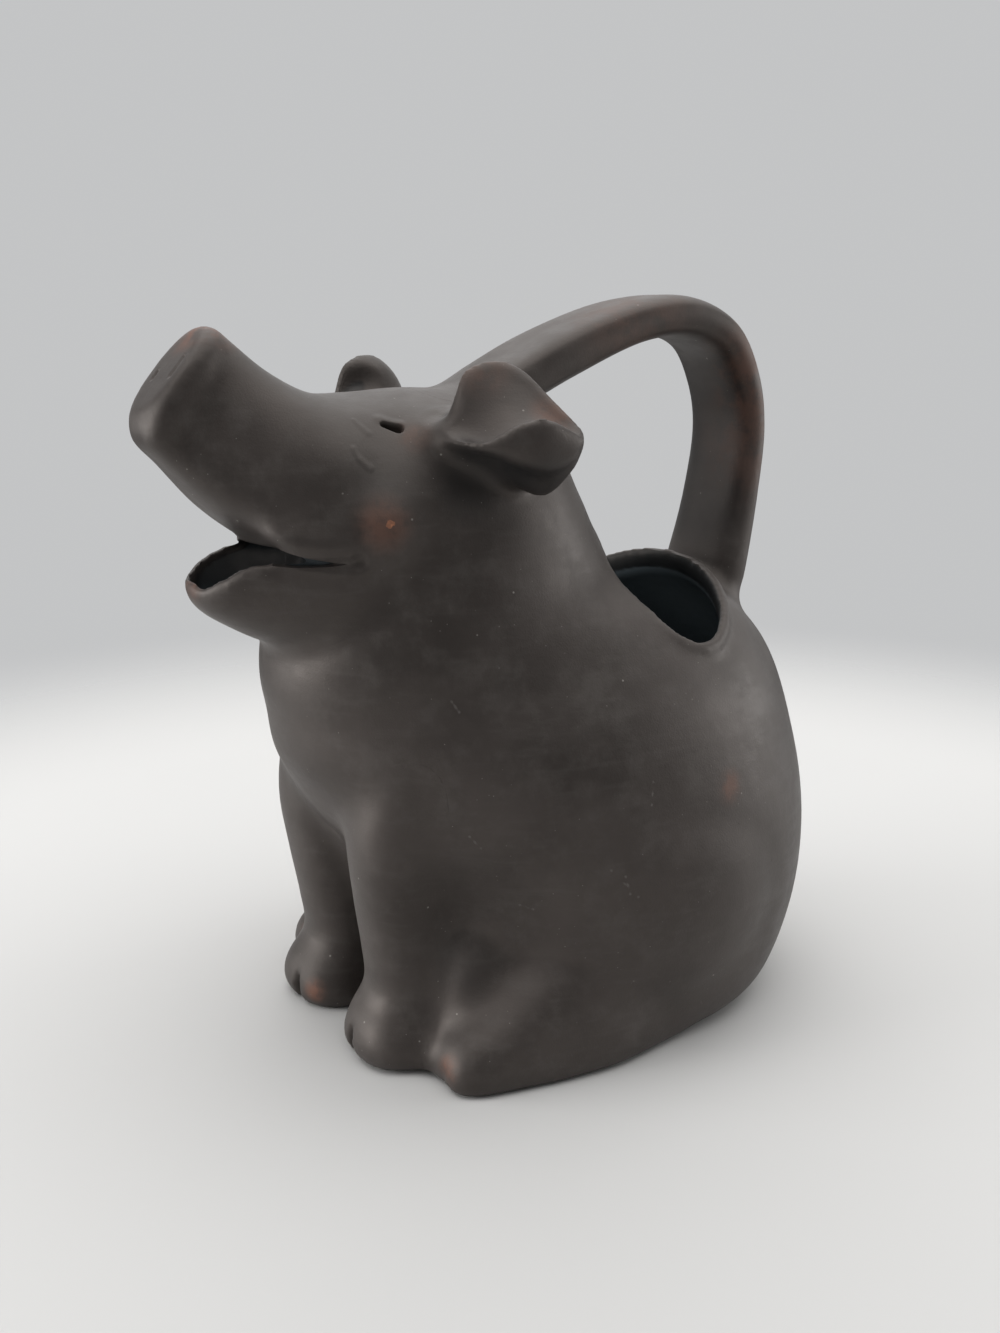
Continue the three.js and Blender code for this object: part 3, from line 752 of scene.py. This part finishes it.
# ----------------------------------------
# Face marks: eyes, nostrils, the crease of the lips and the wrinkles are pressed into the soft
# clay with a stick, and the corners of the mouth are slit with a knife.
(breast_end,), (back_end,) = breast_line(hide_end), back_line(hide_end)
nose_run = back_end - breast_end
face_run = np.array([0, *nose_run]) / np.linalg.norm(nose_run)
nostril_places = ((7.4, 0.58), (-5.6, 0.45))  # x, and how far up the nose
nostrils = [np.array([x, *breast_end + share * nose_run]) for x, share in nostril_places]
long_nostril, short_nostril = 3.4, 1
mark_cuts = 2
face_marks = [  # line on the left, half width at its two ends, depth; the right mirrors it
    ([(27.5, -87.7, 202.2), (28.7, -86.3, 201.5), (29.4, -85.1, 201)], 1.4, 2, 2.8),
    ([(25.6, -88.6, 204.2), (27.3, -86.3, 203.6), (29, -83.8, 202.6)], 3, 2.4, -0.4),
    ([(30, -99.8, 195.6), (31.3, -99, 193.7), (34, -96.4, 190)], 1.2, 1.8, -0.22),
    ([(24, -96, 203.2), (28.2, -94, 200)], 1.2, 1.8, -0.18),
    ([(28, -117, 164.6), (31.5, -109, 163.7), (34.8, -101, 163.5)], 2.4, 3.6, 0.9),
    ([(35, -100.5, 164), (36.6, -100, 168), (36.6, -101.5, 173)], 3.6, 4.6, 0.7),
    ([(36, -72, 206.5), (37, -65, 209.5)], 9, 9, 3),
]
mouth_slits = [  # corners of the mouth, which runs out further on the left, and half their depth
    [((25, -123, 165.6), 7.5), ((26.4, -120.2, 165.1), 6.8), ((29.5, -113.5, 164.1), 4.2),
     ((32.4, -107, 163.4), 1.6), ((33.4, -104.4, 163.4), 0.4)],
    [((-26.2, -119.6, 163), 4.6), ((-29.5, -113.5, 163.3), 3.6),
     ((-32.4, -107, 163.5), 1.6), ((-33.4, -104.4, 163.5), 0.4)],
]
slit_flat = 0.34
long_run, short_run = long_nostril * face_run, short_nostril * face_run
nose_marks = [
    ([nostrils[0] - long_run, nostrils[0] + long_run], 1.5, 1.2, 0.6),
    ([nostrils[1] - short_run, nostrils[1] + short_run], 1.3, 1.3, 0.8),
]


def laid_on(points, line, step=1, passes=6):
    """A line in steps of a millimetre, each laid on the nearest point of the clay."""
    line = np.array(line, float)
    laid = []
    for start, end in zip(line[:-1], line[1:]):
        for share in np.arange(0, 1, step / np.linalg.norm(end - start)):
            laid.append(start + share * (end - start))
    laid.append(line[-1])
    spots = [int(np.argmin(np.linalg.norm(points - at * mm, axis=1))) for at in laid]
    laid = points[[spot for i, spot in enumerate(spots) if i == 0 or spot != spots[i - 1]]]
    for _ in range(passes):
        laid[1:-1] = (laid[:-2] + 2 * laid[1:-1] + laid[2:]) / 4
    return laid


def in_box(points, line, room):
    """Points in the box around a line, with some room."""
    low, high = line.min(0) - room, line.max(0) + room
    return np.flatnonzero(np.all((points > low) & (points < high), axis=1))


def pressed_in(piece, marks):
    """Lines pressed into the clay along its normals, on a finer mesh around them."""
    points = points_of(piece)
    lines = [(laid_on(points, line), np.array(half) * mm, depth * mm)
             for line, *half, depth in marks]
    near = np.zeros(len(points), bool)
    for line, half, _ in lines:
        room = half.max() + 2 * voxel
        spots = in_box(points, line, room)
        near[spots[away_from(points[spots], line)[0] < room]] = True
    picked(piece)
    bpy.ops.object.mode_set(mode="EDIT")
    bpy.ops.mesh.select_all(action="DESELECT")
    bpy.ops.object.mode_set(mode="OBJECT")
    piece.data.vertices.foreach_set("select", near)
    bpy.ops.object.mode_set(mode="EDIT")
    bpy.ops.mesh.select_mode(type="FACE")
    bpy.ops.mesh.subdivide(number_cuts=mark_cuts)
    bpy.ops.mesh.select_mode(type="VERT")
    bpy.ops.object.mode_set(mode="OBJECT")
    points = points_of(piece)
    for line, half, depth in lines:
        normals = np.empty(len(points) * 3, np.float32)
        piece.data.vertices.foreach_get("normal", normals)
        spots = in_box(points, line, half.max())
        far, along = away_from(points[spots], line)
        share = np.clip(1 - far / (half[0] + (half[1] - half[0]) * along), 0, 1)
        push = depth * share * share * (3 - 2 * share)
        points[spots] -= push[:, None] * normals.reshape(-1, 3)[spots]
        piece.data.vertices.foreach_set("co", points.ravel())
        piece.data.update()


right_marks = [(np.array(line) * (-1, 1, 1), *size) for line, *size in face_marks]
pressed_in(pig, face_marks + right_marks + nose_marks)
for slit in mouth_slits:
    line, half = zip(*slit)
    cut(pig, clay_blank("slit", rolled_rings(line, half, slit_flat)))

# ----------------------------------------
# Clay finish: matte chocolate-brown clay, smoothed by hand so that it has a dull sheen. A thin grey
# bloom lies on it, pale grit shows here and there, and high places are rubbed to the red body. Pale
# highlights are painted on the cheek and brow, shade is painted dark under the ears and in the
# handle's arch, and inside the openings shade is painted near the edges and light further in.
clay_dark, clay_warm = (0.0285, 0.0245, 0.0228), (0.0465, 0.04, 0.0373)
bloom_and_highlight_grey, grit_pale = (0.105, 0.098, 0.092), (0.36, 0.34, 0.31)
red_body, orange_chip = (0.16, 0.07, 0.045), (0.5, 0.2, 0.1)
painted_shade_dark, warm_gloss = (0.01, 0.0105, 0.0115), (1, 0.88, 0.8, 1)
# Inside colours: a dark slate painted as shade near the edges of the openings and on the filling
# hole's wall, and a lighter slate painted as light deeper inside, lightest in the belly.
edge_slate_painted_shade, inner_slate_painted_light = (0.012, 0.015, 0.017), (0.05, 0.062, 0.07)
belly_slate_painted_light = (0.13, 0.158, 0.175)
belly_middle, belly_reach, belly_full = (0, 0, 100), 115, 95
rubbed_core, painted_highlight_core, painted_shade_core = 0.15, 0.1, 0.45  # share of its reach where a mark is full
rubbed = [  # place in millimetres, how far it reaches, how much
    ((0, -131.5, 229.5), 14, 0.9),
    ((39, -95, 175), 11.5, 0.5),
    ((-11, -101, 7.5), 7, 0.9),
    ((57, -87, 8), 7, 0.8),
    ((57, -48, 206), 10, 0.5),
    ((33, -82, 199), 8, 0.3),
    ((0, -140, 156), 9, 0.45),
    ((75, 8, 88), 8, 0.5),
    ((-50, -86, 10), 8, 0.7),
    ((18, 60, 216), 24, 0.4),
    ((17, 66, 190), 30, 0.3),
    ((17, 10, 236), 34, 0.25),
    ((40, -62, 216), 12, 0.3),
]
# Pale patches painted on as highlights where the top light catches the cheek, the brow and the high
# flank, in the grey of the bloom.
painted_highlights = [((37, -93, 188), 17, 0.5), ((30, -100, 199), 12, 0.25), ((60, -30, 120), 30, 0.12)]
painted_shade = [  # painted shade: darker under the near ear, in the far ear's hollow, in the handle's arch and beside the near front leg
    ((50, -69, 187), 17, 0.85),
    ((59, -55, 187), 13, 0.8),
    ((-2, 54, 205), 30, 0.85),
    ((-4, 55, 172), 28, 0.8),
    ((-46, -66, 206), 9, 0.6),
    ((42, -70, 34), 15, 0.3),
]
grits = [(125, 0.48, 0.5), (270, 0.42, 0.4)]  # how fine, how patchy, how pale
grit_edge, grit_core, grit_fade = 0.055, 0.025, 0.06
chipped = [((40.4, -93.2, 175), 1.3), ((-11, -101.6, 7.5), 2.4), ((57, -87.4, 8), 1.4)]
chip_ragged, scratch_edge, scratch_core = 4 * mm, 0.55 * mm, 0.2 * mm
scratched = [  # from, to
    ((53.8, -75.7, 80.6), (55.5, -72.3, 77.1)),
    ((73.3, -37.5, 69.2), (75.3, -29.4, 60.7)),
    ((74.4, -33.5, 67), (74.6, -31.6, 61)),
    ((73.9, -22.7, 95), (75.4, -23.4, 87.5)),
    ((58.1, -59.9, 56.9), (60, -57, 55.5)),
    ((49, -79.2, 123), (50.3, -77.2, 119.5)),
]


class Value:
    """A value in a finish: sums and products of values become nodes of its material."""

    def __init__(self, socket):
        self.socket = socket

    def made(self, kind, settings, inputs, output=0):
        tree = self.socket.id_data
        node = tree.nodes.new(kind)
        for name, setting in settings.items():
            setattr(node, name, setting)
        for name, value in inputs.items():
            if isinstance(value, Value):
                tree.links.new(value.socket, node.inputs[name])
            else:
                node.inputs[name].default_value = value
        return Value(node.outputs[output])

    def maths(self, operation, first, second):
        return self.made("ShaderNodeMath", {"operation": operation}, {0: first, 1: second})

    def __add__(self, other):
        return self.maths("ADD", self, other)

    def __sub__(self, other):
        return self.maths("SUBTRACT", self, other)

    def __rsub__(self, other):
        return self.maths("SUBTRACT", other, self)

    def __mul__(self, other):
        return self.maths("MULTIPLY", self, other)

    __radd__, __rmul__ = __add__, __mul__

    def noise(self, scale, detail=2, roughness=0.5):
        return self.made("ShaderNodeTexNoise", {}, {
            "Vector": self, "Scale": scale, "Detail": detail, "Roughness": roughness})

    def step(self, low, high, to_low=0, to_high=1):
        return self.made("ShaderNodeMapRange", {"interpolation_type": "SMOOTHSTEP"}, {
            "Value": self, "From Min": low, "From Max": high, "To Min": to_low, "To Max": to_high})

    def vector(self, operation, other, output=0):
        settings, inputs = {"operation": operation}, {0: self, 1: other}
        return self.made("ShaderNodeVectorMath", settings, inputs, output)

    def away(self, at):
        """How far this place is from another, given in millimetres."""
        return self.vector("DISTANCE", Vector(at) * mm, 1)

    def patches(self, marks, core):
        """How much of the listed marks there is at this place."""
        much_here = 0
        for at, reach, much in marks:
            much_here = self.away(at).step(reach * mm, core * reach * mm, 0, much) + much_here
        return much_here

    def tint(self, under, over):
        """Colour that goes from one to another as this value goes from 0 to 1."""
        shades = [c if isinstance(c, Value) else (*c, 1) for c in (under, over)]
        inputs = {0: self, 6: shades[0], 7: shades[1]}
        return self.made("ShaderNodeMix", {"data_type": "RGBA"}, inputs, 2)


clay = bpy.data.materials.new("clay")
clay.use_nodes = True
clay_nodes = clay.node_tree.nodes
shell = clay_nodes["Principled BSDF"]
shell.inputs["Specular Tint"].default_value = warm_gloss
place = Value(clay_nodes.new("ShaderNodeTexCoord").outputs["Object"])
mottle = place.noise(24, 5, 0.6)
cloud = place.noise(85, 6, 0.68)
smear = place.vector("MULTIPLY", (45, 45, 260)).noise(1, 4, 0.6)
grain = place.noise(1500, 3, 0.6)
ragged = place.noise(420, 4, 0.6)
wear = place.patches(rubbed, rubbed_core)
# Painted highlights, broken up by the mottle.
painted_highlight = place.patches(painted_highlights, painted_highlight_core) * mottle.step(0.3, 0.6, 0.5, 1)
# Painted shade where shade falls under the ears, in the far ear's hollow, in the handle's arch and
# beside the near front leg.
painted_shade_share = place.patches(painted_shade, painted_shade_core)
chips = 0
for at, reach in chipped:
    ragged_edge = place.away(at) + (ragged - 0.5) * chip_ragged
    chips = ragged_edge.step(reach * mm, 0.5 * reach * mm) + chips
grit = 0
for grain_size, patchy, much in grits:
    cells = place.made("ShaderNodeTexVoronoi", {}, {"Vector": place, "Scale": grain_size})
    pale = place.noise(60, 3).step(patchy, patchy + grit_fade, 0, much)
    grit = cells.step(grit_edge, grit_core) * pale + grit
hair = 0
for scratch in scratched:
    line = laid_on(points_of(pig), scratch)
    start, run = Vector(line[0]), Vector(line[-1] - line[0])
    off = place.vector("SUBTRACT", start)
    share = (off.vector("DOT_PRODUCT", run, 1) * (1 / run.length_squared)).step(0, 1)
    on_line = share.made("ShaderNodeVectorMath", {"operation": "SCALE"}, {0: run, "Scale": share})
    beside = off.vector("DISTANCE", on_line, 1)
    hair = beside.step(scratch_edge, scratch_core) * ragged.step(0.35, 0.55) + hair
colour = mottle.step(0.32, 0.68).tint(clay_dark, clay_warm)
# Bloom and painted highlights: grey clouding and streaks, plus the pale painted highlight patches.
bloom_and_highlight = cloud.step(0.44, 0.78) * 0.32 + smear.step(0.5, 0.8) * 0.16 + painted_highlight
colour = bloom_and_highlight.tint(colour, bloom_and_highlight_grey)
# The painted shade darkens the clay there.
colour = painted_shade_share.tint(colour, painted_shade_dark)
colour = (wear * cloud.step(0.36, 0.6, 0.12, 1)).tint(colour, red_body)
colour = (hair * 0.7).tint(colour, bloom_and_highlight_grey)
colour = grit.tint(colour, grit_pale)
colour = (chips.step(0, 1) * ragged.step(0.38, 0.62, 0.35, 0.9)).tint(colour, orange_chip)
within = Value(clay_nodes.new("ShaderNodeAttribute").outputs["Fac"])
within.socket.node.attribute_name = "within"
# Painted shade: inner faces near the openings and the filling hole's wall below its rim turn dark
# slate.
colour = within.step(0, 0.5).tint(colour, edge_slate_painted_shade)
# Painted light: deeper inside, the slate is lighter, most of all in the belly.
belly_light_share = place.away(belly_middle).step(belly_reach * mm, belly_full * mm)
colour = within.step(0.5, 1).tint(colour, belly_light_share.tint(inner_slate_painted_light, belly_slate_painted_light))
sheen = cloud.step(0.35, 0.75, 0.44, 0.58) + smear.step(0.3, 0.8) * 0.06
relief = grain * 0.35 + smear * 0.5 + cloud * 0.6 - hair * 0.5
bump = relief.made("ShaderNodeBump", {}, {"Strength": 0.35, "Distance": 0.4 * mm, "Height": relief})
clay.node_tree.links.new(colour.socket, shell.inputs["Base Color"])
clay.node_tree.links.new(sheen.socket, shell.inputs["Roughness"])
clay.node_tree.links.new(bump.socket, shell.inputs["Normal"])

# ----------------------------------------
# Parting: the pieces of clay are told apart again along their joins, each with the slip that
# was smoothed over its own join, let into the hide by a scored bed.
bed_depth = 1.5
neck_seam, snout_seam, nose_seam = 7.75, 13.1, 15.55
base_seam = base_thickness + 0.8
ear_slip, handle_slip, tail_slip, leg_slip, rim_slip = 4, 7, 2.5, 5, 1
jaw_slip, jaw_seam = 2.5, 0.8
bed_voxel, sleeve_voxel = 1.5 * mm, 2 * mm
deep_start, deep_end = 2.4, 4
wall_face, wall_face_least, wall_top, wall_fade, wall_reach = 2.5, 0.25, 1, 0.8, 11
inner_wall_share = 0.6
smooth_angle = math.radians(40)
bed = hide_blank("bed", -bed_depth, hide_end, hide_points)
applied(bed, "REMESH", mode="VOXEL", voxel_size=bed_voxel)


def sleeve(piece, grow):
    """Room that a piece takes with the slip around its join."""
    room = applied(piece, "REMESH", mode="VOXEL", voxel_size=sleeve_voxel)
    applied(room, "DISPLACE", strength=grow * mm, mid_level=0)
    applied(room, "REMESH", mode="VOXEL", voxel_size=sleeve_voxel)
    return cut(room, bed, keep=True)


def parted(name, room):
    """The clay of the jug inside some room, taken off the jug."""
    piece = copied(pig, name)
    cut(piece, room, "INTERSECT", keep=True)
    cut(pig, room)
    return piece


def other_side(piece, name):
    """The half of a pair that lies on the pig's right, as a piece of its own."""
    twin = copied(piece, name)
    for half, sign in ((piece, 1), (twin, -1)):
        cut(half, beyond("half", (0, 0, 0), (-sign, 0, 0)))
    return twin


def seam(along):
    """Place and way ahead of the plane of a section of the hide."""
    (breast,), (back,) = breast_line(along), back_line(along)
    run = (back - breast) / np.linalg.norm(back - breast)
    return (0, *breast), (0, -run[1], run[0])


def on_edge_wall(piece):
    """1 on the wall of the filling hole below its rim and 0 elsewhere."""
    points = points_of(piece)
    normals = np.empty(points.size, np.float32)
    piece.data.vertices.foreach_get("normal", normals)
    closed = np.vstack([edge_place, edge_place[:1]]) * mm
    far, share = away_from(points, closed)
    spot = np.round(share * len(edge_place)).astype(int) % len(edge_place)
    off, out = points / mm - edge_place[spot], edge_out[spot]
    facing = -np.sum(normals.reshape(-1, 3) * out, axis=1)
    inner = np.clip(wall_face * facing - wall_face_least, 0, 1)
    height = np.sum(off * edge_normal[spot], axis=1)
    below = np.clip((rim_proud * edge_rear[spot] - height - wall_top) / wall_fade, 0, 1)
    own = (np.sum(off * out, axis=1) < rim_out + wall_fade) | (height < -wall_top)
    return inner * below * own * (far < wall_reach * mm)


def brushed(piece):
    """The largest lump of a piece, without the crumbs of its parting."""
    picked(piece)
    bpy.ops.mesh.separate(type="LOOSE")
    lumps = bpy.context.selected_objects
    *crumbs, lump = sorted(lumps, key=lambda part: len(part.data.vertices))
    for crumb in crumbs:
        bpy.data.objects.remove(crumb)
    return lump


pieces = {}
rim_room = clay_blank("rim_room", rim_rings(rim_slip), loop=True)
pieces["filler_rim"] = parted("filler_rim", rim_room)
jaw_room = clay_blank("jaw_room", jaw_rings(-jaw_slip, jaw_seam, 0, jaw_end))
pieces["lower_jaw"] = parted("lower_jaw", cut(jaw_room, bed, keep=True))
pieces["ear_left"] = parted("ear_left", sleeve(ears, ear_slip))
pieces["ear_right"] = other_side(pieces["ear_left"], "ear_right")
pieces["handle"] = parted("handle", sleeve(handle, handle_slip))
pieces["tail"] = parted("tail", sleeve(tail, tail_slip))
hind_room = sleeve(pressed_together("hind_room", [hind_legs, thighs]), leg_slip)
pieces["hind_leg_left"] = parted("hind_leg_left", cut(hind_room, front_legs, keep=True))
pieces["hind_leg_right"] = other_side(pieces["hind_leg_left"], "hind_leg_right")
front_room = sleeve(pressed_together("front_room", [front_legs, flanks]), leg_slip)
pieces["front_leg_left"] = parted("front_leg_left", front_room)
pieces["front_leg_right"] = other_side(pieces["front_leg_left"], "front_leg_right")
pieces["base_slab"] = parted("base_slab", beyond("base_room", (0, 0, base_seam), (0, 0, -1)))
pieces["nose_disc"] = parted("nose_disc", beyond("nose_room", *seam(nose_seam)))
pieces["snout"] = parted("snout", beyond("snout_room", *seam(snout_seam)))
pieces["head_shell"] = parted("head_shell", beyond("head_room", *seam(neck_seam)))
pieces["body_shell"] = pig
shape = bmesh.new()
shape.from_mesh(outside.data)
skin = BVHTree.FromBMesh(shape)
shape.free()
for node, piece in pieces.items():
    piece = brushed(piece)
    piece.name = piece.data.name = node + "_clay"
    depth = []
    for at in points_of(piece):
        near, normal, _, far = skin.find_nearest(Vector(at), deep_end * mm)
        if near is None:
            depth.append(deep_end)
        else:
            depth.append(far / mm if (Vector(at) - near).dot(normal) < 0 else 0)
    deep = np.clip(np.array(depth) - deep_start, 0, 1)
    # within: how deep a point lies under the outer skin, and half on the filling hole's wall; it
    # places the painted shade and painted light inside.
    shade = np.maximum(deep, 0.5 * on_edge_wall(piece))
    within = piece.data.attributes.new("within", "FLOAT", "POINT")
    within.data.foreach_set("value", shade.astype(np.float32))
    if node == "body_shell":
        inside = painted(piece, "inside", np.floor(deep))
        applied(piece, "DECIMATE", ratio=inner_wall_share, vertex_group=inside)
    piece.data.materials.clear()
    piece.data.materials.append(clay)
    piece.vertex_groups.clear()
    picked(piece)
    bpy.ops.object.shade_smooth_by_angle(angle=smooth_angle)
    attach(piece, "root")
    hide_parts(node)
for spare in [o for o in bpy.context.scene.objects if o.type == "MESH" and "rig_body" not in o]:
    bpy.data.objects.remove(spare)

# ----------------------------------------
# Table: a plain pale sheet of paper under the jug. It is round, and fades into the grey of the
# room away from the jug.
sheet_white = (0.59, 0.585, 0.575, 1)
sheet_radius, sheet_clear, sheet_rough = 0.62, 0.3, 0.9
bpy.ops.object.select_all(action="DESELECT")
bpy.ops.mesh.primitive_circle_add(vertices=96, radius=sheet_radius, fill_type="NGON")
table = bpy.context.object
table.name = "table"
paper = bpy.data.materials.new("paper")
paper.use_nodes = True
paper_place = Value(paper.node_tree.nodes.new("ShaderNodeTexCoord").outputs["Object"])
paper_shade = paper.node_tree.nodes["Principled BSDF"]
paper_shade.inputs["Base Color"].default_value = sheet_white
paper_shade.inputs["Roughness"].default_value = sheet_rough
fade = paper_place.vector("LENGTH", (0, 0, 0), 1).step(sheet_radius, sheet_clear)
paper.node_tree.links.new(fade.socket, paper_shade.inputs["Alpha"])
table.data.materials.append(paper)

# ----------------------------------------
# Studio: a soft white room with a large lamp overhead and three weaker ones at the sides. What the
# camera sees of the room is brighter than the light that the room gives.
room_light, room_seen, room_white = 0.17, 0.56, (0.98, 0.99, 1, 1)
lamp_aim = Vector((0, -0.03, 0.12))
world = bpy.data.worlds.new("room")
bpy.context.scene.world = world
world.use_nodes = True
room = world.node_tree.nodes
backdrop = room["Background"].inputs
backdrop["Color"].default_value = room_white
seen = Value(room.new("ShaderNodeLightPath").outputs["Is Camera Ray"])
room_shown = seen.step(0, 1, room_light, room_seen)
world.node_tree.links.new(room_shown.socket, backdrop["Strength"])
for name, watts, wide, high, at in (  # metres
    ("ceiling", 31, 2.2, 2.2, (-0.05, 0.05, 1.35)),
    ("wall", 5, 2, 0.9, (-0.95, 0.6, 0.6)),
    ("left", 11, 0.8, 0.6, (-0.45, -1.1, 0.25)),
    ("right", 6, 1, 0.6, (0.4, 1.15, 0.3)),
):
    lamp = bpy.data.lights.new(name, "AREA")
    lamp.shape = "RECTANGLE"
    lamp.size, lamp.size_y, lamp.energy = wide, high, watts
    lamp_at = bpy.data.objects.new(name, lamp)
    bpy.context.scene.collection.objects.link(lamp_at)
    lamp_at.visible_camera = False
    lamp_at.location = at
    beam = lamp_aim - lamp_at.location
    lamp_at.rotation_euler = beam.to_track_quat("-Z", "Y").to_euler()
bpy.context.scene.view_settings.view_transform = "Standard"

# ----------------------------------------
# Camera: close to the pig's left front and a little above it, looking slightly down, so that the
# filling hole shows.
frame_height, focal_pixels, sensor = 1333, 1373.7, 36
camera_place = (0.3886, -0.27, 0.2317)
camera_turn, camera_rise = math.radians(58.5), math.radians(14.2)
camera = bpy.data.cameras.new("camera")
camera.sensor_fit = "VERTICAL"
camera.sensor_height = sensor
camera.lens = sensor * focal_pixels / frame_height
camera_at = bpy.data.objects.new("camera", camera)
bpy.context.scene.collection.objects.link(camera_at)
camera_at.location = camera_place
level = math.cos(camera_rise)
camera_back = Vector((
    math.sin(camera_turn) * level, -math.cos(camera_turn) * level, math.sin(camera_rise)))
camera_at.rotation_euler = camera_back.to_track_quat("Z", "Y").to_euler()
bpy.context.scene.camera = camera_at

bpy.ops.object.select_all(action="DESELECT")
